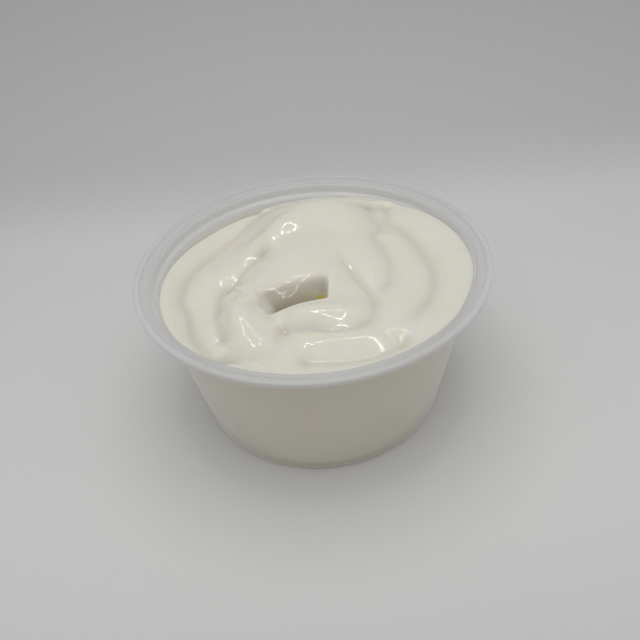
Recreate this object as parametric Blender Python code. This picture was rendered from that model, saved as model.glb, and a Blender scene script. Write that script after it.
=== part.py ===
"""A small tub of sour cream: a thin translucent plastic cup and the spooned cream that fills it.

The cup stands on the plane z = 0 with its axis on +Z, and the origin is under the middle of its base.
The hollow in the cream has its steep front wall towards -Y, which is the tub's front.
"""
import math

import bmesh
import bpy
import numpy as np

MM = 0.001

# The cup: its driving sizes, in millimetres
HEIGHT = 34.8
RIM_RADIUS = 36.5
BASE_RADIUS = 26.9
WALL = 0.55

# The rim: a round bead outside, a lower land inside it, and a neck that drops to a stacking ledge
BEAD_WIDTH = 1.3
BEAD_ROUND = 0.5
SKIRT_DROP = 1.05
LAND_DROP = 0.6
SKIRT_DRAFT = 0.05
SKIRT_CHAMFER = 0.25
NECK_CHAMFER = 0.5
NECK_DRAFT = 0.12
BEAD_LEAN = 0.18
BEAD_EASE = 0.08
LAND_THICKNESS = 0.65
NECK_RADIUS = 33.0
NECK_ROUND = 1.0
LEDGE_DROP = 2.7
LEDGE_WIDTH = 1.0
LEDGE_FALL = 0.55

# The base: rounded where it meets the wall, with its middle raised inside a flat foot ring
FOOT_ROUND = 1.3
FOOT_WIDTH = 1.6
BASE_RISE = 0.5
FLOOR_THICKNESS = 0.65
FLOOR_ROUND = 1.5

CUP_SEGMENTS = 88
ARC_STEPS = 3

# The cream: where its edge meets the wall below the rim's top, at eight even turns from +X
EDGE_DROPS = [2.6, 3.0, 4.0, 5.2, 3.7, 3.7, 4.0, 3.4]
CENTRE_DROP = 4.6
LEVEL_START = 0.25
GAP = 0.3

# The spoon's strokes: the points each runs through, how deep it is, how far the cream on its left
# rolls down to it and how far the cream on its right does, and how it fades at its two ends
STROKES = {
    "outer left": dict(
        points=[(-11.0, 30.5), (-16.0, 21.5), (-21.8, 14.5), (-26.6, 6.5), (-27.8, -2.0), (-25.8, -7.5),
                (-24.4, -15.0), (-20.8, -20.3), (-14.0, -23.5)],
        depth=(1.5, 3.1), left=3.2, right=2.2, fades=(1.5, 6.0)),
    "left inner": dict(
        points=[(-14.8, 0.2), (-17.4, 0.9), (-19.4, -1.2), (-19.8, -6.0), (-19.2, -13.0), (-17.5, -20.0)],
        depth=(2.0, 2.0), left=1.8, right=1.7, fades=(4.0, 4.0)),
    "behind the hollow": dict(
        points=[(-7.5, 9.0), (-11.5, 7.6), (-14.5, 4.6), (-15.8, 1.0), (-15.4, -3.0)],
        depth=(1.7, 1.7), left=2.8, right=1.8, fades=(4.0, 4.0)),
    "under the lip": dict(
        points=[(-9.0, -15.2), (-2.5, -16.6), (2.5, -18.4), (7.0, -18.2), (10.6, -15.0), (11.4, -9.5),
                (8.8, -2.0), (4.6, 7.5)],
        depth=(1.5, 1.7), left=1.5, right=1.4, fades=(3.0, 12.0)),
    "right middle": dict(
        points=[(10.5, -8.5), (15.0, -4.5), (16.5, 1.0), (15.7, 6.5), (14.6, 10.5), (16.2, 14.5),
                (15.6, 19.5), (14.5, 24.5)],
        depth=(1.8, 2.1), left=2.6, right=2.4, fades=(6.0, 2.0)),
    "right outer": dict(
        points=[(15.5, -21.0), (20.0, -14.5), (23.2, -9.0), (24.6, -2.0), (23.5, 5.5), (21.0, 13.0),
                (18.4, 17.5), (19.2, 25.0)],
        depth=(1.8, 2.0), left=2.0, right=1.8, fades=(12.0, 2.0)),
    "arm edge": dict(
        points=[(-11.2, -6.5), (-8.6, -12.5), (-7.7, -16.5), (-9.0, -23.0)],
        depth=(1.5, 1.4), left=2.6, right=2.1, fades=(2.0, 6.0)),
    "front": dict(
        points=[(-6.0, -25.2), (0.5, -26.2), (7.0, -26.8), (13.0, -25.4), (17.5, -21.8)],
        depth=(1.5, 1.5), left=3.6, right=2.2, fades=(4.0, 4.0)),
}
STROKE_SOFTNESS = 1.1
STROKE_PIECES = 8

# Mounds and dips: middle, height, half lengths along and across, and the turn of the length
MOUNDS = {
    "summit": dict(at=(2.0, 19.8), height=5.4, along=14.5, across=9.0, turn=-4),
    "middle": dict(at=(-4.0, 2.6), height=3.2, along=10.5, across=10.2, turn=0),
    "right shoulder": dict(at=(14.0, 5.0), height=1.7, along=7.5, across=12.5, turn=0),
    "left arm": dict(at=(-21.5, -6.0), height=-0.8, along=5.0, across=12.0, turn=0),
    "left plateau": dict(at=(-16.2, -11.8), height=2.8, along=5.0, across=6.4, turn=0),
    "back bump": dict(at=(-5.8, 15.4), height=1.6, along=4.4, across=3.4, turn=0),
    "back fold": dict(at=(-10.6, 11.4), height=1.9, along=4.6, across=3.0, turn=10),
    "lip": dict(at=(-3.5, -13.0), height=1.0, along=5.5, across=2.6, turn=4),
    "lip end": dict(at=(4.2, -14.0), height=1.8, along=8.6, across=3.4, turn=4),
    "front ridge": dict(at=(4.0, -20.2), height=1.5, along=9.0, across=3.2, turn=0),
    "left pit": dict(at=(-14.8, -22.0), height=-2.2, along=5.4, across=3.6, turn=0),
}
CALM_FROM, CALM_TO = 27.0, 33.0
WALL_SHARE = 0.4

# The hollow that the lifted spoon left: its back rolls down towards a short wall at the front
HOLLOW_BACK = -1.6
HOLLOW_LENGTH = 7.1
HOLLOW_SKEW = 0.18
HOLLOW_TOP = 2.5
HOLLOW_ROUND = 8.2
HOLLOW_BOW = 8.5
HOLLOW_MIDDLE = -4.8
HOLLOW_LEFT = (-13.8, -10.4)
HOLLOW_RIGHT = (3.7, 2.8)
LEFT_WALL = 3.4
RIGHT_WALL = 1.6
FRONT_WALL = 0.8
HOLLOW_EASE = 0.5

HUB = (-3.5, -6.5)
CREAM_SEGMENTS = 96
CREAM_RINGS = 34
SIDE_STEPS = (0.0, 0.35, 0.7, 1.2, 2.2, 4.5, 12.0, 21.0)


def clear_scene():
    for thing in list(bpy.data.objects):
        bpy.data.objects.remove(thing, do_unlink=True)


def material(name, colour, roughness, alpha=1.0):
    made = bpy.data.materials.new(name)
    made.use_nodes = True
    shader = made.node_tree.nodes["Principled BSDF"]
    shader.inputs["Base Color"].default_value = (*colour, 1.0)
    shader.inputs["Roughness"].default_value = roughness
    shader.inputs["Metallic"].default_value = 0.0
    shader.inputs["Alpha"].default_value = alpha
    return made


def add_object(name, mesh, surface):
    data = bpy.data.meshes.new(name)
    bmesh.ops.recalc_face_normals(mesh, faces=mesh.faces)
    mesh.to_mesh(data)
    mesh.free()
    data.shade_smooth()
    data.set_sharp_from_angle(angle=math.radians(40))
    data.materials.append(surface)
    made = bpy.data.objects.new(name, data)
    bpy.context.scene.collection.objects.link(made)
    return made


def arc(centre, radius, start, end, steps=ARC_STEPS):
    """Points of an arc in the (radius, height) plane, angles in degrees."""
    turns = [math.radians(start + (end - start) * i / steps) for i in range(steps + 1)]
    return [(centre[0] + radius * math.cos(a), centre[1] + radius * math.sin(a)) for a in turns]


def wall_radius(z):
    """The outside of the tapered wall at a height, from the base up to the ledge."""
    top = HEIGHT - LEDGE_DROP - LEDGE_FALL
    top_radius = NECK_RADIUS - LEDGE_WIDTH + WALL
    return BASE_RADIUS + (top_radius - BASE_RADIUS) * z / top


def cup_section():
    """The cup's closed cross-section as (radius, height), down its outside and back up its inside."""
    ledge = HEIGHT - LEDGE_DROP
    under_ledge = ledge - LEDGE_FALL
    bead = (RIM_RADIUS - BEAD_ROUND, HEIGHT - BEAD_ROUND)
    skirt = HEIGHT - SKIRT_DROP
    land = HEIGHT - LAND_DROP
    neck_outside = NECK_RADIUS + WALL
    outside = arc(bead, BEAD_ROUND, 90, 0)
    outside += [(RIM_RADIUS - SKIRT_DRAFT, skirt + SKIRT_CHAMFER), (RIM_RADIUS - SKIRT_CHAMFER, skirt)]
    under_land = land - LAND_THICKNESS
    outside += [(neck_outside + NECK_CHAMFER, under_land), (neck_outside, under_land - NECK_CHAMFER)]
    outside += [(neck_outside, ledge - WALL), (wall_radius(under_ledge - WALL), under_ledge - WALL)]
    foot = (wall_radius(FOOT_ROUND) - FOOT_ROUND, FOOT_ROUND)
    outside += arc(foot, FOOT_ROUND, -9, -90)
    ring_inside = foot[0] - FOOT_WIDTH
    outside += [(ring_inside, 0.0), (ring_inside - BASE_RISE, BASE_RISE), (0.0, BASE_RISE)]
    floor = BASE_RISE + FLOOR_THICKNESS
    corner = (wall_radius(floor + FLOOR_ROUND) - WALL - FLOOR_ROUND, floor + FLOOR_ROUND)
    inside = [(0.0, floor)] + arc(corner, FLOOR_ROUND, -90, -9)
    inside += [(wall_radius(under_ledge) - WALL, under_ledge), (NECK_RADIUS - NECK_DRAFT, ledge)]
    inside += [(NECK_RADIUS, ledge + 2 * NECK_DRAFT)]
    neck_top = (NECK_RADIUS + NECK_ROUND, land - NECK_ROUND)
    inside += arc(neck_top, NECK_ROUND, 180, 90)
    bead_inside = RIM_RADIUS - BEAD_WIDTH
    inside += [(bead_inside - BEAD_LEAN, land), (bead_inside + BEAD_LEAN, HEIGHT - BEAD_EASE)]
    return outside + inside


def make_cup(surface):
    """The cup is its cross-section turned once round the axis."""
    mesh = bmesh.new()
    ring = [mesh.verts.new((r * MM, 0.0, z * MM)) for r, z in cup_section()]
    edges = [mesh.edges.new((a, b)) for a, b in zip(ring, ring[1:] + ring[:1]) if a.co.x + b.co.x > 0]
    bmesh.ops.spin(mesh, geom=ring + edges, axis=(0, 0, 1), cent=(0, 0, 0), dvec=(0, 0, 0),
                   angle=2 * math.pi, steps=CUP_SEGMENTS, use_merge=True)
    bmesh.ops.remove_doubles(mesh, verts=mesh.verts, dist=0.001 * MM)
    return add_object("cup", mesh, surface)


def smooth(low, high, value):
    """0 before low, 1 past high, and an S-shaped ramp between them; low may be the larger."""
    t = np.clip((value - low) / (high - low), 0.0, 1.0)
    return t * t * (3.0 - 2.0 * t)


def spline(values, place):
    """A smooth curve through evenly spaced values or points, read at a place counted in steps."""
    given = np.asarray(values, float)
    padded = np.concatenate([[2 * given[0] - given[1]], given, [2 * given[-1] - given[-2]]])
    i = np.clip(place.astype(int), 0, len(given) - 2)
    u = (place - i).reshape(place.shape + (1,) * (given.ndim - 1))
    a, b, c, d = padded[i], padded[i + 1], padded[i + 2], padded[i + 3]
    bend = (2 * a - 5 * b + 4 * c - d) * u ** 2 + (3 * b - a - 3 * c + d) * u ** 3
    return 0.5 * (2 * b + (c - a) * u + bend)


def level(x, y):
    """The cream's mean level: calm in the middle, and its own height at each place on the wall."""
    turn = np.degrees(np.arctan2(y, x)) % 360.0 / 360.0
    count = len(EDGE_DROPS)
    wrapped = [EDGE_DROPS[(k - 2) % count] for k in range(count + 5)]
    edge = spline(wrapped, 2 + turn * count)
    share = smooth(LEVEL_START, 1.0, np.hypot(x, y) / NECK_RADIUS)
    return HEIGHT - CENTRE_DROP - (edge - CENTRE_DROP) * share


def stroke_depth(x, y, points, depth, left, right, fades):
    """How much a stroke of the spoon takes away: sharp along its path, rolled down beside it."""
    steps = (len(points) - 1) * STROKE_PIECES
    path = spline(points, np.linspace(0, len(points) - 1, steps + 1))
    nearest = np.full(x.shape, np.inf)
    along = np.zeros(x.shape)
    side = np.zeros(x.shape)
    run = 0.0
    for (ax, ay), (bx, by) in zip(path, path[1:]):
        length = math.hypot(bx - ax, by - ay)
        ux, uy = (bx - ax) / length, (by - ay) / length
        t = np.clip((x - ax) * ux + (y - ay) * uy, 0.0, length)
        dx, dy = x - ax - t * ux, y - ay - t * uy
        distance = np.hypot(dx, dy)
        closer = distance < nearest
        nearest = np.where(closer, distance, nearest)
        along = np.where(closer, run + t, along)
        side = np.where(closer, ux * dy - uy * dx, side)
        run += length
    width = right + (left - right) * smooth(-0.5 * STROKE_SOFTNESS, 0.5 * STROKE_SOFTNESS, side)
    rounded_off = np.sqrt(nearest ** 2 + STROKE_SOFTNESS ** 2) - STROKE_SOFTNESS
    ends = smooth(0.0, fades[0], along) * smooth(0.0, fades[1], run - along)
    return (depth[0] + (depth[1] - depth[0]) * along / run) * np.exp(-rounded_off / width) * ends


def mound_height(x, y, at, height, along, across, turn):
    """A rounded heap, or a hollow where its height is below zero."""
    c, s = math.cos(math.radians(turn)), math.sin(math.radians(turn))
    dx, dy = x - at[0], y - at[1]
    return height * np.exp(-((c * dx + s * dy) / along) ** 2 - ((c * dy - s * dx) / across) ** 2)


def hollow_share(x, y):
    """How far a point lies from the hollow's back line (0) to the foot of its front wall (1)."""
    return np.clip((HOLLOW_BACK - y + HOLLOW_SKEW * x) / HOLLOW_LENGTH, 0.0, 1.0)


def hollow_inside(x, y, ease):
    """1 inside the hollow, falling to 0 over its walls and easing in from its back line."""
    share = hollow_share(x, y)
    left = HOLLOW_LEFT[0] + (HOLLOW_LEFT[1] - HOLLOW_LEFT[0]) * share
    right = HOLLOW_RIGHT[0] + (HOLLOW_RIGHT[1] - HOLLOW_RIGHT[0]) * share
    sides = smooth(left, left + LEFT_WALL, x) * smooth(right, right - RIGHT_WALL, x)
    beyond = HOLLOW_BACK - y + HOLLOW_SKEW * x - HOLLOW_LENGTH
    return sides * smooth(0.0, ease, share) * smooth(FRONT_WALL, 0.0, beyond)


def hollow_floor(x, y):
    """The height of the rounded face that rolls down into the hollow from its back."""
    share = hollow_share(x, y)
    roll = HOLLOW_ROUND - np.sqrt(HOLLOW_ROUND ** 2 - (share * HOLLOW_LENGTH) ** 2)
    bow = (x - HOLLOW_MIDDLE) ** 2 / (2 * HOLLOW_BOW) * smooth(0.0, HOLLOW_EASE, share)
    return HEIGHT - HOLLOW_TOP - roll - bow


def cream_top(x, y):
    """The height of the cream over the plane that the cup stands on."""
    z = level(x, y)
    calm = smooth(CALM_TO, CALM_FROM, np.hypot(x, y))
    for stroke in STROKES.values():
        z = z - stroke_depth(x, y, **stroke) * (WALL_SHARE + (1.0 - WALL_SHARE) * calm)
    for mound in MOUNDS.values():
        z = z + mound_height(x, y, **mound) * calm
    above = z - hollow_floor(x, y)
    return z - hollow_inside(x, y, HOLLOW_EASE) * (above + np.sqrt(above ** 2 + 0.04)) / 2


def cream_side(z):
    """The radius of the cream's side at a height: the cup's inside, less the gap."""
    under_ledge = HEIGHT - LEDGE_DROP - LEDGE_FALL
    wall = wall_radius(np.minimum(z, under_ledge)) - WALL
    step = (NECK_RADIUS - 0.12 - (wall_radius(under_ledge) - WALL))
    return wall + step * smooth(under_ledge + 0.1, under_ledge + 1.1, z) - GAP


def make_cream(surface):
    """The cream is a grid of rings that spread from the hollow to the wall, closed by its side and bottom."""
    turns = np.arange(CREAM_SEGMENTS) * 2 * math.pi / CREAM_SEGMENTS
    ux, uy = np.cos(turns), np.sin(turns)
    edge_radius = np.full(CREAM_SEGMENTS, NECK_RADIUS - LEDGE_WIDTH)
    for _ in range(4):
        edge_height = cream_top(edge_radius * ux, edge_radius * uy)
        edge_radius = cream_side(edge_height)
    share = (np.arange(CREAM_RINGS + 1) / CREAM_RINGS)[:, None]
    x = HUB[0] + share * (edge_radius * ux - HUB[0])
    y = HUB[1] + share * (edge_radius * uy - HUB[1])
    z = cream_top(x, y)
    rings = [np.stack([x[i], y[i], z[i]], axis=1) for i in range(1, CREAM_RINGS + 1)]
    for step in SIDE_STEPS[1:]:
        height = edge_height - step
        radius = cream_side(height)
        rings.append(np.stack([radius * ux, radius * uy, height], axis=1))
    bottom = BASE_RISE + FLOOR_THICKNESS + GAP
    radius = wall_radius(bottom) - WALL - GAP
    for inset, rise in ((0.1, FLOOR_ROUND), (0.55, 0.45), (FLOOR_ROUND, 0.0)):
        flat = np.full(CREAM_SEGMENTS, bottom + rise)
        rings.append(np.stack([(radius - inset) * ux, (radius - inset) * uy, flat], axis=1))
    mesh = bmesh.new()
    loops = [[mesh.verts.new(np.array(point) * MM) for point in ring] for ring in rings]
    for upper, lower in zip(loops, loops[1:]):
        for i in range(CREAM_SEGMENTS):
            j = (i + 1) % CREAM_SEGMENTS
            mesh.faces.new((upper[i], lower[i], lower[j], upper[j]))
    for loop, middle in ((loops[0], (x[0, 0], y[0, 0], z[0, 0])), (loops[-1], (0.0, 0.0, bottom))):
        hub = mesh.verts.new(np.array(middle) * MM)
        for i in range(CREAM_SEGMENTS):
            mesh.faces.new((hub, loop[i], loop[(i + 1) % CREAM_SEGMENTS]))
    return add_object("cream", mesh, surface)


clear_scene()
make_cup(material("clear plastic", (0.72, 0.72, 0.70), 0.3, 0.45))
make_cream(material("sour cream", (0.86, 0.85, 0.77), 0.35))
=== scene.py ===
# %% [markdown]
# A small tub of sour cream, built in Blender as a lesson in cells.
#
# The real thing has two parts: a thin cup of translucent plastic, moulded in one piece, and thick sour cream
# that a spoon has pushed into it with a swirling turn. The CAD part already gives both their true places, so
# the lesson dresses it: a finer cup, a finer cream, their materials, and a small studio like the one in which
# such a tub is photographed. Everything is in metres, and the shapes are worked out in millimetres.

# %% Load the fixed frame
import math

import bmesh
import bpy
import numpy as np
from mathutils import Matrix, Vector


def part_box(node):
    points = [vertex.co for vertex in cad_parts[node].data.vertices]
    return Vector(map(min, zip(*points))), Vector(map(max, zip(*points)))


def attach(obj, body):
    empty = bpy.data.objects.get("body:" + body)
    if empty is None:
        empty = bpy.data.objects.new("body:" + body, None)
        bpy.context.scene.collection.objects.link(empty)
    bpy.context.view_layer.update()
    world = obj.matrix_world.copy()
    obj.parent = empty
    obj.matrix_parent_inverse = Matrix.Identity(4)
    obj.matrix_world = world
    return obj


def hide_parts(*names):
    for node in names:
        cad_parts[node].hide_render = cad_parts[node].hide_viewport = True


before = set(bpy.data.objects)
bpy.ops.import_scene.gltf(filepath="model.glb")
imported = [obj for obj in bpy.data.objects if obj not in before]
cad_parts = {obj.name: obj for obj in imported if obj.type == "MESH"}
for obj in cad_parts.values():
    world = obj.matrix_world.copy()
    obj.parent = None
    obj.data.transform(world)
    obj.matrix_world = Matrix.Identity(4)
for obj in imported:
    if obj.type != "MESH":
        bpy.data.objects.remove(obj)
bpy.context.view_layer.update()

MM = 0.001
cup_low, cup_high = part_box("cup")
cream_low, cream_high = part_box("cream")
print("CAD nodes:", sorted(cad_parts))
print("cup, mm:", [round(v / MM, 2) for v in (*cup_low, *cup_high)])
print("cream, mm:", [round(v / MM, 2) for v in (*cream_low, *cream_high)])

# %% [markdown]
# The camera looks down at the tub from the front, close to it, the way one looks at a pot on a table. A near
# camera makes the front of the rim wider than its back, which a far one wouldn't. It is held a little askew,
# so the tub's axis leans to the left in the picture.

# %% Place the camera
RIM_HEIGHT = 34.8
EYE = Vector((0.0, -109.9, 108.4)) * MM
LOOK_AT = Vector((0.48, -20.4, RIM_HEIGHT)) * MM
CAMERA_ROLL = math.radians(-5.486)


def add_camera():
    """A camera at the eye whose sensor is as wide as its lens is long, turned about its own line of sight."""
    forward = (LOOK_AT - EYE).normalized()
    level_right = forward.cross(Vector((0, 0, 1))).normalized()
    level_up = level_right.cross(forward)
    c, s = math.cos(CAMERA_ROLL), math.sin(CAMERA_ROLL)
    right = c * level_right + s * level_up
    up = c * level_up - s * level_right
    data = bpy.data.cameras.new("camera")
    data.sensor_fit = "HORIZONTAL"
    data.sensor_width = data.lens = 36.0
    data.clip_start, data.clip_end = 0.01, 20.0
    camera = bpy.data.objects.new("camera", data)
    axes = Matrix((right, up, -forward)).transposed().to_4x4()
    camera.matrix_world = Matrix.Translation(EYE) @ axes
    bpy.context.scene.collection.objects.link(camera)
    bpy.context.scene.camera = camera


add_camera()
print("camera is", round((EYE - LOOK_AT).length / MM, 1), "mm from what it looks at")

# %% [markdown]
# Most materials below mix patterns with a little arithmetic. Node by node that is long to write, so this cell
# makes one small class. It wraps a socket, and Python's own signs for plus, minus, times and division then
# add Math nodes. Everything that isn't plain arithmetic comes from one method, node(), which sets a node's
# settings first and then its sockets.

# %% Shader arithmetic
class Wire:
    """An output socket that can be added, multiplied and divided like a number."""

    def __init__(self, tree, socket):
        self.tree, self.socket = tree, socket

    def node(self, kind, settings=None, values=None, out=0):
        return add_node(self.tree, kind, settings, values, out)

    def maths(self, operation, *operands):
        return self.node("ShaderNodeMath", {"operation": operation}, dict(enumerate(operands)))

    def __add__(self, other):
        return self.maths("ADD", self, other)

    __radd__ = __add__

    def __mul__(self, other):
        return self.maths("MULTIPLY", self, other)

    __rmul__ = __mul__

    def __sub__(self, other):
        return self.maths("SUBTRACT", self, other)

    def __rsub__(self, other):
        return self.maths("SUBTRACT", other, self)

    def __truediv__(self, other):
        return self.maths("DIVIDE", self, other)

    def __rtruediv__(self, other):
        return self.maths("DIVIDE", other, self)

    def __pow__(self, other):
        return self.maths("POWER", self, other)

    def ramp(self, low, high):
        """0 at low, 1 at high, with soft ends; low may be the larger."""
        span = {0: self, 1: low, 2: high, 3: 0.0, 4: 1.0}
        return self.node("ShaderNodeMapRange", {"interpolation_type": "SMOOTHSTEP"}, span)


def add_node(tree, kind, settings=None, values=None, out=0):
    """Adds one node: its settings first, then its sockets, by number, name or identifier."""
    made = tree.nodes.new(kind)
    for name, setting in (settings or {}).items():
        setattr(made, name, setting)
    for key, value in (values or {}).items():
        named = {s.identifier: s for s in made.inputs} | {s.name: s for s in reversed(made.inputs)}
        socket = made.inputs[key] if isinstance(key, int) else named[key]
        if isinstance(value, Wire):
            tree.links.new(value.socket, socket)
        else:
            socket.default_value = value
    if isinstance(out, str):
        return Wire(tree, next(s for s in made.outputs if out in (s.identifier, s.name)))
    return Wire(tree, made.outputs[out]) if made.outputs else made


def blend_colours(factor, first, second):
    """One colour over another, as far as the factor says."""
    settings = {"data_type": "RGBA", "blend_type": "MIX", "clamp_factor": True}
    values = {"Factor_Float": factor, "A_Color": first, "B_Color": second}
    return add_node(factor.tree, "ShaderNodeMix", settings, values, "Result_Color")


def noise(tree, place, scale, detail):
    """A soft random pattern, 0 to 1, finer as its scale grows."""
    values = {"Vector": place, "Scale": scale, "Detail": detail}
    return add_node(tree, "ShaderNodeTexNoise", None, values, "Fac")


def new_material(name):
    """An empty material with its output, and the tree that the next nodes go into."""
    made = bpy.data.materials.new(name)
    made.use_nodes = True
    made.node_tree.nodes.clear()
    return made, made.node_tree


def show(tree, surface):
    add_node(tree, "ShaderNodeOutputMaterial", None, {"Surface": surface})


# %% [markdown]
# The tub stands in a small white light tent: its floor runs up behind the tub in one soft bend, and a slim
# ring of lamps hangs straight overhead. The ring matters, because its mirror image is what draws the little
# bright loops on the wet cream, and its light, cut off by the rim, gives the wide soft shadow round the base.
# A lamp object can't be a ring, so it is a flat ring of mesh that glows. The rest of the light comes from the
# world, as from the tent's white cloth: most of it from overhead, and less from the sides. The cloth's colour
# is painted darker up the back wall and towards the front, as painted shade.

# %% Build the sweep and the lamp
FLOOR_FRONT, FLOOR_BACK, FLOOR_HALF_WIDTH = -700.0, 62.0, 500.0
SWEEP_RADIUS, WALL_TOP = 70.0, 330.0
LAMP_HEIGHT = RIM_HEIGHT + 190.0
LAMP_RADIUS, LAMP_WIDTH = 53.0, 3.2
LAMP_STRENGTH = 28.0
TENT_LIGHT = (1.0, 1.0, 0.995)
CLOTH_TINTS = (0.772, 0.772, 0.774, 1), (0.786, 0.786, 0.783, 1)
BACK_SHADE_SPAN, BACK_PAINTED_SHADE = (68.0, 106.0), (0.628, 0.628, 0.631, 1)
FRONT_SHADE_SPAN, FRONT_PAINTED_SHADE = (-25.0, -105.0), (0.668, 0.668, 0.670, 1)
TENT_OVERHEAD, TENT_LEVEL = 0.81, 0.21


def mesh_object(name, points, faces, surface):
    """An object with its place in its mesh, points in millimetres."""
    data = bpy.data.meshes.new(name)
    data.from_pydata([tuple(c * MM for c in p) for p in points], [], faces)
    data.materials.append(surface)
    data.shade_smooth()
    data.update()
    made = bpy.data.objects.new(name, data)
    bpy.context.scene.collection.objects.link(made)
    return made


def sweep_line(steps=24):
    """The floor's run from front to back and up the wall, as (y, z)."""
    turns = [math.radians(90.0 * i / steps) for i in range(steps + 1)]
    bend = [(FLOOR_BACK + SWEEP_RADIUS * math.sin(a), SWEEP_RADIUS * (1.0 - math.cos(a))) for a in turns]
    return [(FLOOR_FRONT, 0.0), *bend, (bend[-1][0], WALL_TOP)]


def add_sweep():
    paper, tree = new_material("tent cloth")
    place = add_node(tree, "ShaderNodeTexCoord", out="Object")
    cloud = noise(tree, place, scale=14.0, detail=3.0)
    tint = blend_colours(cloud, *CLOTH_TINTS)
    away = add_node(tree, "ShaderNodeSeparateXYZ", None, {0: place}, "Y")
    # Painted shade: the cloth darkens up the back wall and towards the front, where less light falls.
    tint = blend_colours(away.ramp(*(c * MM for c in BACK_SHADE_SPAN)), tint, BACK_PAINTED_SHADE)
    tint = blend_colours(away.ramp(*(c * MM for c in FRONT_SHADE_SPAN)), tint, FRONT_PAINTED_SHADE)
    shader = add_node(tree, "ShaderNodeBsdfPrincipled", None,
                      {"Base Color": tint, "Roughness": 0.9, "Specular IOR Level": 0.1})
    show(tree, shader)
    line = sweep_line()
    points = [(x, y, z) for y, z in line for x in (-FLOOR_HALF_WIDTH, FLOOR_HALF_WIDTH)]
    faces = [(2 * i, 2 * i + 1, 2 * i + 3, 2 * i + 2) for i in range(len(line) - 1)]
    return mesh_object("tent_floor", points, faces, paper)


def add_ring_lamp(steps=96):
    glow, tree = new_material("ring lamp")
    show(tree, add_node(tree, "ShaderNodeEmission", None, {"Strength": LAMP_STRENGTH}))
    points, faces = [], []
    for i in range(steps):
        a = 2 * math.pi * i / steps
        for radius in (LAMP_RADIUS - LAMP_WIDTH / 2, LAMP_RADIUS + LAMP_WIDTH / 2):
            points.append((radius * math.cos(a), radius * math.sin(a), LAMP_HEIGHT))
        j = (i + 1) % steps
        faces.append((2 * i, 2 * j, 2 * j + 1, 2 * i + 1))
    return mesh_object("ring_lamp", points, faces, glow)


def light_the_tent():
    world = bpy.data.worlds.new("tent")
    world.use_nodes = True
    tree = world.node_tree
    tree.nodes.clear()
    toward = add_node(tree, "ShaderNodeTexCoord", out="Generated")
    upward = add_node(tree, "ShaderNodeSeparateXYZ", None, {0: toward}, "Z")
    strength = upward.maths("MAXIMUM", upward, 0.0) * (TENT_OVERHEAD - TENT_LEVEL) + TENT_LEVEL
    light = add_node(tree, "ShaderNodeBackground", None, {"Color": (*TENT_LIGHT, 1.0), "Strength": strength})
    add_node(tree, "ShaderNodeOutputWorld", None, {"Surface": light})
    bpy.context.scene.world = world
    bpy.context.scene.view_settings.view_transform = "Standard"


tent_floor = add_sweep()
ring_lamp = add_ring_lamp()
light_the_tent()
print("lamp hangs", LAMP_HEIGHT, "mm over the floor and is", 2 * LAMP_RADIUS, "mm across")

# %% [markdown]
# The cup is a turned shape: every slice through its axis is the same. So only one slice is drawn, as a line
# of corners from the middle of the underside, out and up the wall, over the rim, and down the inside to the
# middle of the floor. Each corner gets its own rounding, because moulded plastic has no knife edges, and it
# is those roundings that catch the light along the rim.

# %% Draw the cup's slice
RIM_RADIUS, BASE_RADIUS, WALL = 36.5, 26.9, 0.55
BEAD_WIDTH, SKIRT_DROP, SKIRT_WIDTH = 1.3, 1.05, 0.55
LAND_DROP, LAND_THICKNESS = 0.6, 0.65
NECK_RADIUS, NECK_ROUND = 33.0, 1.0
LEDGE_DROP, LEDGE_WIDTH, LEDGE_FALL = 2.7, 1.0, 0.55
FOOT_ROUND, FOOT_WIDTH, BASE_RISE = 1.3, 1.6, 0.5
FLOOR_THICKNESS, FLOOR_ROUND = 0.65, 1.5
UNDER_LEDGE = RIM_HEIGHT - LEDGE_DROP - LEDGE_FALL
SOFT_ROUND, WALL_ROUND = 0.4, 0.5
SKIRT_LEAN, SKIRT_ROUND, SKIRT_EDGE = 0.2, 0.15, 0.2
BEAD_LEAN, BEAD_OUTER_ROUND, BEAD_INNER_ROUND, BEAD_FOOT_ROUND = 0.1, 0.55, 0.45, 0.25
RIM_LEAN, NECK_LEAN, LEDGE_ROUND = 0.03, 0.1, 0.3
LARGEST_BEND = 0.48


def wall_radius(z):
    """The outside of the tapered wall at a height, from the base up to the ledge."""
    top_radius = NECK_RADIUS - LEDGE_WIDTH + WALL
    return BASE_RADIUS + (top_radius - BASE_RADIUS) * z / UNDER_LEDGE


def rounded(corners, steps=7):
    """The line through (radius, height, rounding) corners, each replaced by a smooth bend.

    A bend takes less than half of the line on each side of its corner, so that two bends never meet.
    """
    line = [np.array(corners[0][:2])]
    for before, here, after in zip(corners, corners[1:], corners[2:]):
        a, p, b = (np.array(c[:2], float) for c in (before, here, after))
        back, on = a - p, b - p
        back_length, on_length = np.linalg.norm(back), np.linalg.norm(on)
        turn = math.pi - math.acos(np.clip(np.dot(back, on) / back_length / on_length, -1, 1))
        wanted = here[2] * math.tan(turn / 2)
        reach = min(wanted, LARGEST_BEND * back_length, LARGEST_BEND * on_length)
        start, end = p + back / back_length * reach, p + on / on_length * reach
        for i in range(steps + 1):
            t = i / steps
            line.append((1 - t) ** 2 * start + 2 * t * (1 - t) * p + t * t * end)
    return line + [np.array(corners[-1][:2])]


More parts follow.
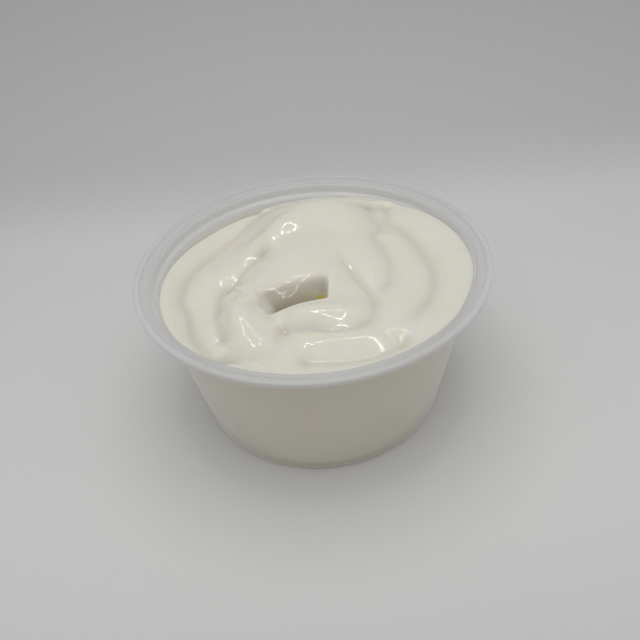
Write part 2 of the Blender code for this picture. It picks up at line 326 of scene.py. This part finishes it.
def cup_slice():
    ledge, land = RIM_HEIGHT - LEDGE_DROP, RIM_HEIGHT - LAND_DROP
    neck_outside, under_land = NECK_RADIUS + WALL, land - LAND_THICKNESS
    foot_inside = BASE_RADIUS - FOOT_ROUND - FOOT_WIDTH
    bead_inside, skirt = RIM_RADIUS - BEAD_WIDTH, RIM_HEIGHT - SKIRT_DROP
    floor, skirt_inside = BASE_RISE + FLOOR_THICKNESS, RIM_RADIUS - SKIRT_WIDTH
    underside = [(0.0, BASE_RISE, 0), (foot_inside - BASE_RISE, BASE_RISE, SOFT_ROUND),
                 (foot_inside, 0.0, SOFT_ROUND), (BASE_RADIUS, 0.0, FOOT_ROUND)]
    outside = [(wall_radius(UNDER_LEDGE - WALL), UNDER_LEDGE - WALL, WALL_ROUND),
               (neck_outside, ledge - WALL, SOFT_ROUND), (neck_outside, under_land, WALL_ROUND)]
    rim = [(skirt_inside - SKIRT_LEAN, under_land, SKIRT_EDGE), (skirt_inside, skirt, SKIRT_ROUND),
           (RIM_RADIUS - RIM_LEAN, skirt, SKIRT_EDGE), (RIM_RADIUS, RIM_HEIGHT, BEAD_OUTER_ROUND),
           (bead_inside + BEAD_LEAN, RIM_HEIGHT, BEAD_INNER_ROUND),
           (bead_inside - BEAD_LEAN, land, BEAD_FOOT_ROUND)]
    inside = [(NECK_RADIUS, land, NECK_ROUND), (NECK_RADIUS - NECK_LEAN, ledge, LEDGE_ROUND),
              (NECK_RADIUS - LEDGE_WIDTH, UNDER_LEDGE, WALL_ROUND),
              (wall_radius(floor) - WALL, floor, FLOOR_ROUND), (0.0, floor, 0)]
    return rounded(underside + outside + rim + inside)


slice_line = cup_slice()
widest = max(radius for radius, height in slice_line)
print("the slice has", len(slice_line), "points and is", round(widest * 2, 2), "mm across")

# %% [markdown]
# One slice becomes a cup by turning it round the axis, and because that follows a rule, Geometry Nodes can do
# it. A grid gives the faces: its columns are the turns and its rows are the slice's points. Each grid point
# looks up its slice point, is carried round to its column's angle, and the seam where the last column meets
# the first is merged. The number of sides is an input, so the same tree makes a coarse or a fine cup.

# %% Turn the slice into a cup
CUP_SIDES = 288
MERGE_DISTANCE = 0.002 * MM


def turning_tree():
    """Geometry in: a line of slice points. Geometry out: the closed surface that it sweeps."""
    tree = bpy.data.node_groups.new("turned shape", "GeometryNodeTree")
    face = tree.interface
    face.new_socket("Geometry", in_out="INPUT", socket_type="NodeSocketGeometry")
    face.new_socket("Sides", in_out="INPUT", socket_type="NodeSocketInt")
    face.new_socket("Merge distance", in_out="INPUT", socket_type="NodeSocketFloat")
    face.new_socket("Finish", in_out="INPUT", socket_type="NodeSocketMaterial")
    face.new_socket("Geometry", in_out="OUTPUT", socket_type="NodeSocketGeometry")
    given = tree.nodes.new("NodeGroupInput")
    line, sides, merge, finish = (Wire(tree, given.outputs[i]) for i in range(4))
    rows = line.node("GeometryNodeAttributeDomainSize", {"component": "MESH"}, {"Geometry": line},
                     "Point Count")
    grid = line.node("GeometryNodeMeshGrid", None, {"Vertices X": sides + 1, "Vertices Y": rows}, "Mesh")
    index = line.node("GeometryNodeInputIndex")
    row = index.maths("FLOORED_MODULO", index, rows)
    angle = (index - row) / rows / sides * (2 * math.pi)
    place = line.node("GeometryNodeInputPosition")
    looked_up = line.node("GeometryNodeSampleIndex", {"data_type": "FLOAT_VECTOR", "domain": "POINT"},
                          {"Geometry": line, "Value": place, "Index": row})
    radius, height = (line.node("ShaderNodeSeparateXYZ", None, {0: looked_up}, axis) for axis in "XZ")
    target = line.node("ShaderNodeCombineXYZ", None, {
        "X": radius * angle.maths("COSINE", angle), "Y": radius * angle.maths("SINE", angle), "Z": height})
    turned = line.node("GeometryNodeSetPosition", None, {"Geometry": grid, "Position": target})
    closed = line.node("GeometryNodeMergeByDistance", None, {"Geometry": turned, "Distance": merge})
    smooth = line.node("GeometryNodeSetShadeSmooth", None, {"Geometry": closed, "Shade Smooth": True})
    real = line.node("GeometryNodeRealizeInstances", None, {"Geometry": smooth})
    dressed = line.node("GeometryNodeSetMaterial", None, {"Geometry": real, "Material": finish})
    result = tree.nodes.new("NodeGroupOutput")
    tree.links.new(dressed.socket, result.inputs[0])
    return tree


def plain_mesh(made, name):
    """The evaluated object as a mesh of its own, faces pointing out, with its modifier gone."""
    bpy.context.view_layer.update()
    seen = made.evaluated_get(bpy.context.evaluated_depsgraph_get())
    data = bpy.data.meshes.new_from_object(seen)
    bpy.data.objects.remove(made, do_unlink=True)
    work = bmesh.new()
    work.from_mesh(data)
    bmesh.ops.recalc_face_normals(work, faces=work.faces)
    work.to_mesh(data)
    work.free()
    data.name = name
    result = bpy.data.objects.new(name, data)
    bpy.context.scene.collection.objects.link(result)
    return result


def add_cup(finish):
    line = bpy.data.meshes.new("slice")
    joined = [(i, i + 1) for i in range(len(slice_line) - 1)]
    line.from_pydata([(r * MM, 0.0, z * MM) for r, z in slice_line], joined, [])
    seed = bpy.data.objects.new("slice", line)
    bpy.context.scene.collection.objects.link(seed)
    tree = turning_tree()
    turn = seed.modifiers.new("turn", "NODES")
    turn.node_group = tree
    sockets = {s.name: s.identifier for s in tree.interface.items_tree if s.in_out == "INPUT"}
    turn[sockets["Sides"]] = CUP_SIDES
    turn[sockets["Merge distance"]] = MERGE_DISTANCE
    turn[sockets["Finish"]] = finish
    return plain_mesh(seed, "moulded_cup")


# %% [markdown]
# The plastic is thin and milky. It lets some light straight through, scatters some, and has a soft gloss.
# Glass would be the wrong recipe, since it bends light sharply and casts dark edges. A Principled shader
# that is part see-through and part scattering gives the hazy look. Its tint changes with the height: the wall
# is painted with the warm colour of the cream's light coming through it, the neck above the cream is painted
# paler as painted light on a face in shade, and the flat land inside the bead is painted a little darker as
# painted shade. The surface has faint ripples that follow the wall round, left by the mould, and tiny specks.

# %% Mix the plastic
RIPPLE = 0.9 * MM
EMPTY_TINT, FILLED_TINT = (0.775, 0.77, 0.775, 1), (0.80, 0.74, 0.61, 1)
LAND_PAINTED_SHADE, NECK_PAINTED_LIGHT, HAZE_TINT = (0.66, 0.655, 0.665, 1), (0.79, 0.78, 0.77, 1), (0.80, 0.80, 0.79, 1)
HAZE_SHARE = 0.25
FACING_ALPHA, EDGE_ALPHA, FOOT_ALPHA = 0.45, 0.45, 0.10

# Bands of height in millimetres, each from where its share is 0 to where it is 1.
FILLED_BAND, FOOT_BAND = (UNDER_LEDGE, UNDER_LEDGE - 2.5), (3.0, 0.8)
LAND_ABOVE = (RIM_HEIGHT - LAND_DROP + 0.2, RIM_HEIGHT - LAND_DROP + 0.05)
LAND_BELOW = (RIM_HEIGHT - LAND_DROP - 0.35, RIM_HEIGHT - LAND_DROP - 0.1)
NECK_BELOW, NECK_ABOVE = (UNDER_LEDGE - 1.0, UNDER_LEDGE), (RIM_HEIGHT - 0.8, RIM_HEIGHT - 1.6)


def ramp_mm(height, band):
    """0 to 1 between two heights in millimetres."""
    return height.ramp(*(z * MM for z in band))


def plastic():
    made, tree = new_material("clear plastic")
    place = add_node(tree, "ShaderNodeTexCoord", out="Object")
    height = add_node(tree, "ShaderNodeSeparateXYZ", None, {0: place}, "Z")
    haze = noise(tree, place, scale=90.0, detail=3.0)
    fine = noise(tree, place, scale=900.0, detail=2.0)
    edge_on = add_node(tree, "ShaderNodeLayerWeight", None, {"Blend": 0.5}, "Facing")
    ripple = height.maths("SINE", height * (2 * math.pi / RIPPLE))
    # Painted light: below the ledge the wall takes the warm colour of the cream's light coming through it.
    tint = blend_colours(ramp_mm(height, FILLED_BAND), EMPTY_TINT, FILLED_TINT)
    # Painted shade: the flat land inside the bead is painted darker.
    tint = blend_colours(ramp_mm(height, LAND_ABOVE) * ramp_mm(height, LAND_BELOW), tint, LAND_PAINTED_SHADE)
    # Painted light: the neck above the cream is painted paler than its shade would make it.
    tint = blend_colours(ramp_mm(height, NECK_BELOW) * ramp_mm(height, NECK_ABOVE), tint, NECK_PAINTED_LIGHT)
    tint = blend_colours(haze * HAZE_SHARE, tint, HAZE_TINT)
    bump = add_node(tree, "ShaderNodeBump", None, {
        "Strength": 0.15, "Distance": 0.02 * MM, "Height": ripple * 0.2 + fine * 0.5})
    alpha = edge_on ** 2.0 * EDGE_ALPHA + ramp_mm(height, FOOT_BAND) * FOOT_ALPHA + FACING_ALPHA
    shader = add_node(tree, "ShaderNodeBsdfPrincipled", None, {
        "Base Color": tint, "Roughness": haze * 0.10 + 0.16, "IOR": 1.49, "Alpha": alpha,
        "Sheen Weight": 0.80, "Sheen Roughness": 0.40, "Normal": bump})
    show(tree, shader)
    return made


cup = add_cup(plastic())
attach(cup, "root")
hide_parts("cup")
print("cup:", len(cup.data.polygons), "faces")

# %% [markdown]
# Sour cream is thick enough to keep the marks of the spoon. Looking at its top, most of the form is a mean
# level, a few soft mounds, and creases where one fold of cream lies against the next. A crease isn't a plain
# groove: on one side the fold rolls down to it slowly, and on the other it stands up sharply. So a stroke is
# a path with a depth and two different widths. The helpers here work on whole arrays of points at once.

# %% Helpers for the cream's form
def smooth(low, high, value):
    """0 before low, 1 past high, and an S-shaped ramp between them; low may be the larger."""
    t = np.clip((value - low) / (high - low), 0.0, 1.0)
    return t * t * (3.0 - 2.0 * t)


def spline(values, place):
    """A smooth curve through evenly spaced values or points, read at a place counted in steps."""
    given = np.asarray(values, float)
    padded = np.concatenate([[2 * given[0] - given[1]], given, [2 * given[-1] - given[-2]]])
    i = np.clip(place.astype(int), 0, len(given) - 2)
    u = (place - i).reshape(place.shape + (1,) * (given.ndim - 1))
    a, b, c, d = padded[i], padded[i + 1], padded[i + 2], padded[i + 3]
    bend = (2 * a - 5 * b + 4 * c - d) * u ** 2 + (3 * b - a - 3 * c + d) * u ** 3
    return 0.5 * (2 * b + (c - a) * u + bend)


STROKE_SOFTNESS, STROKE_PIECES = 1.1, 8


def stroke_depth(x, y, points, depth, left, right, fades):
    """How much a stroke of the spoon takes away: sharp along its path, rolled down beside it."""
    steps = (len(points) - 1) * STROKE_PIECES
    path = spline(points, np.linspace(0, len(points) - 1, steps + 1))
    nearest = np.full(x.shape, np.inf)
    along = np.zeros(x.shape)
    side = np.zeros(x.shape)
    run = 0.0
    for (ax, ay), (bx, by) in zip(path, path[1:]):
        length = math.hypot(bx - ax, by - ay)
        ux, uy = (bx - ax) / length, (by - ay) / length
        t = np.clip((x - ax) * ux + (y - ay) * uy, 0.0, length)
        dx, dy = x - ax - t * ux, y - ay - t * uy
        distance = np.hypot(dx, dy)
        closer = distance < nearest
        nearest = np.where(closer, distance, nearest)
        along = np.where(closer, run + t, along)
        side = np.where(closer, ux * dy - uy * dx, side)
        run += length
    width = right + (left - right) * smooth(-0.5 * STROKE_SOFTNESS, 0.5 * STROKE_SOFTNESS, side)
    rounded_off = np.sqrt(nearest ** 2 + STROKE_SOFTNESS ** 2) - STROKE_SOFTNESS
    ends = smooth(0.0, fades[0], along) * smooth(0.0, fades[1], run - along)
    return (depth[0] + (depth[1] - depth[0]) * along / run) * np.exp(-rounded_off / width) * ends


def mound_height(x, y, at, height, along, across, turn):
    """A rounded heap, or a hollow where its height is below zero."""
    c, s = math.cos(math.radians(turn)), math.sin(math.radians(turn))
    dx, dy = x - at[0], y - at[1]
    return height * np.exp(-((c * dx + s * dy) / along) ** 2 - ((c * dy - s * dx) / across) ** 2)


# %% [markdown]
# These are the marks themselves, as someone with a spoon would list them: the strokes, each as the points
# that it runs through, and the mounds and hollows between them. Lengths are in millimetres, with +X to the
# right and -Y towards the front.

# %% The spoon's strokes and the mounds between them
EDGE_DROPS = [2.6, 3.0, 4.0, 5.2, 3.7, 3.7, 4.0, 3.4]
CENTRE_DROP, LEVEL_START = 4.6, 0.25
STROKES = {
    "outer left": dict(
        points=[(-11.0, 30.5), (-16.0, 21.5), (-21.8, 14.5), (-26.6, 6.5), (-27.8, -2.0), (-25.8, -7.5),
                (-24.4, -15.0), (-20.8, -20.3), (-14.0, -23.5)],
        depth=(1.5, 3.1), left=3.2, right=2.2, fades=(1.5, 6.0)),
    "left inner": dict(
        points=[(-14.8, 0.2), (-17.4, 0.9), (-19.4, -1.2), (-19.8, -6.0), (-19.2, -13.0), (-17.5, -20.0)],
        depth=(2.0, 2.0), left=1.8, right=1.7, fades=(4.0, 4.0)),
    "behind the hollow": dict(
        points=[(-7.5, 9.0), (-11.5, 7.6), (-14.5, 4.6), (-15.8, 1.0), (-15.4, -3.0)],
        depth=(1.7, 1.7), left=2.8, right=1.8, fades=(4.0, 4.0)),
    "under the lip": dict(
        points=[(-9.0, -15.2), (-2.5, -16.6), (2.5, -18.4), (7.0, -18.2), (10.6, -15.0), (11.4, -9.5),
                (8.8, -2.0), (4.6, 7.5)],
        depth=(1.5, 1.7), left=1.5, right=1.4, fades=(3.0, 12.0)),
    "right middle": dict(
        points=[(10.5, -8.5), (15.0, -4.5), (16.5, 1.0), (15.7, 6.5), (14.6, 10.5), (16.2, 14.5),
                (15.6, 19.5), (14.5, 24.5)],
        depth=(1.8, 2.1), left=2.6, right=2.4, fades=(6.0, 2.0)),
    "right outer": dict(
        points=[(15.5, -21.0), (20.0, -14.5), (23.2, -9.0), (24.6, -2.0), (23.5, 5.5), (21.0, 13.0),
                (18.4, 17.5), (19.2, 25.0)],
        depth=(1.8, 2.0), left=2.0, right=1.8, fades=(12.0, 2.0)),
    "arm edge": dict(
        points=[(-11.2, -6.5), (-8.6, -12.5), (-7.7, -16.5), (-9.0, -23.0)],
        depth=(1.5, 1.4), left=2.6, right=2.1, fades=(2.0, 6.0)),
    "front": dict(
        points=[(-6.0, -25.2), (0.5, -26.2), (7.0, -26.8), (13.0, -25.4), (17.5, -21.8)],
        depth=(1.5, 1.5), left=3.6, right=2.2, fades=(4.0, 4.0)),
}
MOUNDS = {
    "summit": dict(at=(2.0, 19.8), height=5.4, along=14.5, across=9.0, turn=-4),
    "middle": dict(at=(-4.0, 2.6), height=3.2, along=10.5, across=10.2, turn=0),
    "right shoulder": dict(at=(14.0, 5.0), height=1.7, along=7.5, across=12.5, turn=0),
    "left arm": dict(at=(-21.5, -6.0), height=-0.8, along=5.0, across=12.0, turn=0),
    "left plateau": dict(at=(-16.2, -11.8), height=2.8, along=5.0, across=6.4, turn=0),
    "back bump": dict(at=(-5.8, 15.4), height=1.6, along=4.4, across=3.4, turn=0),
    "back fold": dict(at=(-10.6, 11.4), height=1.9, along=4.6, across=3.0, turn=10),
    "lip": dict(at=(-3.5, -13.0), height=1.0, along=5.5, across=2.6, turn=4),
    "lip end": dict(at=(4.2, -14.0), height=1.8, along=8.6, across=3.4, turn=4),
    "front ridge": dict(at=(4.0, -20.2), height=1.5, along=9.0, across=3.2, turn=0),
    "left pit": dict(at=(-14.8, -22.0), height=-2.2, along=5.4, across=3.6, turn=0),
}
CALM_FROM, CALM_TO, WALL_SHARE = 27.0, 33.0, 0.4


def level(x, y):
    """The cream's mean level: calm in the middle, and its own height at each place on the wall."""
    turn = np.degrees(np.arctan2(y, x)) % 360.0 / 360.0
    count = len(EDGE_DROPS)
    wrapped = [EDGE_DROPS[(k - 2) % count] for k in range(count + 5)]
    edge = spline(wrapped, 2 + turn * count)
    share = smooth(LEVEL_START, 1.0, np.hypot(x, y) / NECK_RADIUS)
    return RIM_HEIGHT - CENTRE_DROP - (edge - CENTRE_DROP) * share


print(len(STROKES), "strokes and", len(MOUNDS), "mounds")

# %% [markdown]
# In the middle the spoon was lifted away and left a hollow. Its back rolls down gently from the cream behind
# it and grows steeper towards the front, where it ends at a short wall under the lip. Its two sides are
# short and steep, and they stand closer together at the front than at the back.

# %% The hollow in the middle
HOLLOW_BACK, HOLLOW_LENGTH, HOLLOW_SKEW = -1.6, 7.1, 0.18
HOLLOW_TOP, HOLLOW_ROUND, HOLLOW_BOW, HOLLOW_MIDDLE = 2.5, 8.2, 8.5, -4.8
HOLLOW_LEFT, HOLLOW_RIGHT = (-13.8, -10.4), (3.7, 2.8)
LEFT_WALL, RIGHT_WALL, FRONT_WALL, HOLLOW_EASE = 3.4, 1.6, 0.8, 0.5
LIP_SOFTNESS = 0.2


def hollow_share(x, y):
    """How far a point lies from the hollow's back line (0) to the foot of its front wall (1)."""
    return np.clip((HOLLOW_BACK - y + HOLLOW_SKEW * x) / HOLLOW_LENGTH, 0.0, 1.0)


def hollow_inside(x, y, ease):
    """1 inside the hollow, falling to 0 over its walls and easing in from its back line."""
    share = hollow_share(x, y)
    left = HOLLOW_LEFT[0] + (HOLLOW_LEFT[1] - HOLLOW_LEFT[0]) * share
    right = HOLLOW_RIGHT[0] + (HOLLOW_RIGHT[1] - HOLLOW_RIGHT[0]) * share
    sides = smooth(left, left + LEFT_WALL, x) * smooth(right, right - RIGHT_WALL, x)
    beyond = HOLLOW_BACK - y + HOLLOW_SKEW * x - HOLLOW_LENGTH
    return sides * smooth(0.0, ease, share) * smooth(FRONT_WALL, 0.0, beyond)


def hollow_floor(x, y):
    """The height of the rounded face that rolls down into the hollow from its back."""
    share = hollow_share(x, y)
    roll = HOLLOW_ROUND - np.sqrt(HOLLOW_ROUND ** 2 - (share * HOLLOW_LENGTH) ** 2)
    bow = (x - HOLLOW_MIDDLE) ** 2 / (2 * HOLLOW_BOW) * smooth(0.0, HOLLOW_EASE, share)
    return RIM_HEIGHT - HOLLOW_TOP - roll - bow


def cream_top(x, y):
    """The height of the cream over the plane that the cup stands on."""
    z = level(x, y)
    calm = smooth(CALM_TO, CALM_FROM, np.hypot(x, y))
    for stroke in STROKES.values():
        z = z - stroke_depth(x, y, **stroke) * (WALL_SHARE + (1.0 - WALL_SHARE) * calm)
    for mound in MOUNDS.values():
        z = z + mound_height(x, y, **mound) * calm
    above = z - hollow_floor(x, y)
    cut = (above + np.sqrt(above ** 2 + LIP_SOFTNESS ** 2)) / 2
    return z - hollow_inside(x, y, HOLLOW_EASE) * cut


# %% [markdown]
# The top needs points about as close together as the picture's own dots, a fifth of a millimetre apart, or
# the creases blur. Rings round the middle would crowd there and thin out at the wall, so the points are those
# of a square grid, bent so that its outline is a circle: every cell keeps nearly the same size. The side then
# follows the cup's inside, and it reaches a little way into the plastic, because an air gap between the two
# would show as a silvery skin.

# %% Build the cream
CREAM_CELLS = 284
INTO_WALL = 0.12
# Painted shade in the creases and the hollow: the reach round each point, the crease depth for full shade,
# the most that a crease gets, and how the hollow's shade grows.
SHADE_REACH, SHADE_FULL_DEPTH, SHADE_MOST_IN_CREASES = 1.8, 1.6, 0.6
HOLLOW_SHADE_BEND, HOLLOW_SHADE_EASE = 0.6, 0.4
SIDE_STEPS, SIDE_CLEARANCE = (0.3, 0.7, 1.2, 2.2, 4.5, 8.0, 12.0, 17.0, 21.0, 25.0), 1.0
BASE_STEPS, BASE_SHARE = ((0.0, 0.8), (0.2, 0.25), (0.8, 0.0)), 0.5


def square_to_disc(n):
    """An even square grid bent into a unit disc; a point's distance from the edge stays its share."""
    side = np.linspace(-1.0, 1.0, n + 1)
    u, v = np.meshgrid(side, side)
    radius = np.maximum(np.abs(u), np.abs(v))
    wide = np.abs(u) >= np.abs(v)
    safe = np.where(radius > 0, np.where(wide, u, v), 1.0)
    angle = np.where(wide, v / safe, u / safe) * math.pi / 4
    signed = np.where(wide, u, v)
    x = np.where(wide, signed * np.cos(angle), signed * np.sin(angle))
    y = np.where(wide, signed * np.sin(angle), signed * np.cos(angle))
    return x, y


def painted_fold_shade(x, y):
    """Painted shade: 0 where the top is flat or swells, rising where it lies below the cream round it and
    deep in the hollow.
    """
    turns = [math.radians(60.0 * k) for k in range(6)]
    ring = [(x + SHADE_REACH * math.cos(a), y + SHADE_REACH * math.sin(a)) for a in turns]
    around = sum(cream_top(*place) for place in ring) / len(ring)
    crease = np.clip((around - cream_top(x, y)) / SHADE_FULL_DEPTH, 0.0, 1.0)
    hollow = hollow_inside(x, y, HOLLOW_SHADE_EASE) * hollow_share(x, y) ** HOLLOW_SHADE_BEND
    return np.maximum(SHADE_MOST_IN_CREASES * crease, hollow)


def cream_side(z):
    """The radius of the cream's side at a height: just inside the plastic."""
    wall = wall_radius(np.minimum(z, UNDER_LEDGE)) - WALL
    step = NECK_RADIUS - NECK_LEAN - (wall_radius(UNDER_LEDGE) - WALL)
    return wall + step * smooth(UNDER_LEDGE, UNDER_LEDGE + LEDGE_FALL, z) + INTO_WALL


def rim_loop(n):
    """The grid's outermost points in order round it, as row and column numbers."""
    loop = [(0, j) for j in range(n)] + [(i, n) for i in range(n)]
    return loop + [(n, j) for j in range(n, 0, -1)] + [(i, 0) for i in range(n, 0, -1)]


def add_cream(finish):
    n = CREAM_CELLS
    ux, uy = square_to_disc(n)
    turn = np.arctan2(uy, ux)
    reach = np.full(ux.shape, NECK_RADIUS - LEDGE_WIDTH)
    for _ in range(4):
        reach = cream_side(cream_top(reach * np.cos(turn), reach * np.sin(turn)))
    x, y = ux * reach, uy * reach
    z = cream_top(x, y)
    points = np.stack([x, y, z], axis=-1).reshape(-1, 3)
    faces = []
    for i in range(n):
        start = i * (n + 1)
        faces += [(start + j, start + j + 1, start + j + n + 2, start + j + n + 1) for j in range(n)]
    loop = [i * (n + 1) + j for i, j in rim_loop(n)]
    edge = points[loop]
    rings = [points]
    count = len(loop)
    above, total = loop, len(points)
    outward = edge[:, :2] / np.hypot(edge[:, 0], edge[:, 1])[:, None]
    bottom = BASE_RISE + FLOOR_THICKNESS - INTO_WALL
    for step in SIDE_STEPS:
        height = np.maximum(edge[:, 2] - step, bottom + SIDE_CLEARANCE)
        rings.append(np.column_stack([outward * cream_side(height)[:, None], height]))
    base_radius = wall_radius(bottom) - WALL + INTO_WALL
    for inset, rise in (*BASE_STEPS, (BASE_SHARE * base_radius, 0.0)):
        rings.append(np.column_stack([outward * (base_radius - inset), np.full(count, bottom + rise)]))
    for _ in rings[1:]:
        here = list(range(total, total + count))
        faces += [(above[k], here[k], here[(k + 1) % count], above[(k + 1) % count]) for k in range(count)]
        above, total = here, total + count
    faces.append(tuple(above))
    made = mesh_object("spooned_cream", np.concatenate(rings), faces, finish)
    work = bmesh.new()
    work.from_mesh(made.data)
    bmesh.ops.remove_doubles(work, verts=work.verts, dist=MERGE_DISTANCE)
    bmesh.ops.recalc_face_normals(work, faces=work.faces)
    work.to_mesh(made.data)
    work.free()
    made.data.shade_smooth()
    # The fold attribute holds painted shade: it rises in the creases and deep in the hollow.
    painted_shade_layer = made.data.attributes.new("fold", "FLOAT", "POINT")
    where = np.array([v.co for v in made.data.vertices]) / MM
    painted_shade_layer.data.foreach_set("value", painted_fold_shade(where[:, 0], where[:, 1]))
    return made


# %% [markdown]
# Cream is white but not paper white: it is warm, and light goes in and comes out again, which the Principled
# shader's subsurface part does. In the hollow and in the creases between the folds, its colour is painted
# darker and warmer, as painted shade. Its surface is wet, so it has a low roughness and shows the lamp
# sharply.
# Faint clouds of colour, a fine unevenness and two yellow spots keep it from looking like plastic.

# %% Mix the cream
CREAM_TINTS = (0.850, 0.840, 0.741, 1), (0.872, 0.848, 0.759, 1)
FOLD_PAINTED_SHADE = (0.38, 0.33, 0.23, 1)
# Two yellow spots on the cream, each given as a place, a size and a colour.
YELLOW_SPOTS = [((1.1, -6.2), 1.2, (0.58, 0.48, 0.08, 1)), ((3.7, 10.9), 1.2, (0.866, 0.828, 0.680, 1))]
SPOT_OUTER, SPOT_INNER, SPOT_FRAY = 1.3, 0.3, 0.3


def cream_finish():
    made, tree = new_material("sour cream")
    place = add_node(tree, "ShaderNodeTexCoord", out="Object")
    cloud = noise(tree, place, scale=70.0, detail=3.0)
    grain = noise(tree, place, scale=1500.0, detail=2.0)
    swell = noise(tree, place, scale=420.0, detail=2.0)
    fold = add_node(tree, "ShaderNodeAttribute", {"attribute_name": "fold"}, out="Fac")
    tint = blend_colours(cloud.ramp(0.35, 0.65), *CREAM_TINTS)
    # Painted shade: the fold attribute darkens the colour in the creases and the hollow.
    tint = blend_colours(fold, tint, FOLD_PAINTED_SHADE)
    for (x, y), size, colour in YELLOW_SPOTS:
        height = cream_top(np.array([x]), np.array([y]))[0]
        offset = add_node(tree, "ShaderNodeVectorMath", {"operation": "DISTANCE"},
                          {0: place, 1: (x * MM, y * MM, height * MM)}, "Value")
        frayed = offset + grain * (SPOT_FRAY * MM)
        tint = blend_colours(frayed.ramp(size * SPOT_OUTER * MM, SPOT_INNER * size * MM), tint, colour)
    bump = add_node(tree, "ShaderNodeBump", None, {
        "Strength": 0.15, "Distance": 0.01 * MM, "Height": swell + grain * 0.2})
    shader = add_node(tree, "ShaderNodeBsdfPrincipled", None, {
        "Base Color": tint, "Roughness": swell * 0.03 + 0.07, "IOR": 1.46,
        "Subsurface Weight": 1.0, "Subsurface Radius": (1.0, 0.85, 0.55), "Subsurface Scale": 0.6 * MM,
        "Normal": bump})
    show(tree, shader)
    return made


cream = add_cream(cream_finish())
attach(cream, "root")
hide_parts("cream")
heights = [v.co.z / MM for v in cream.data.vertices]
print("cream:", len(cream.data.polygons), "faces, top at", round(max(heights), 2), "mm")
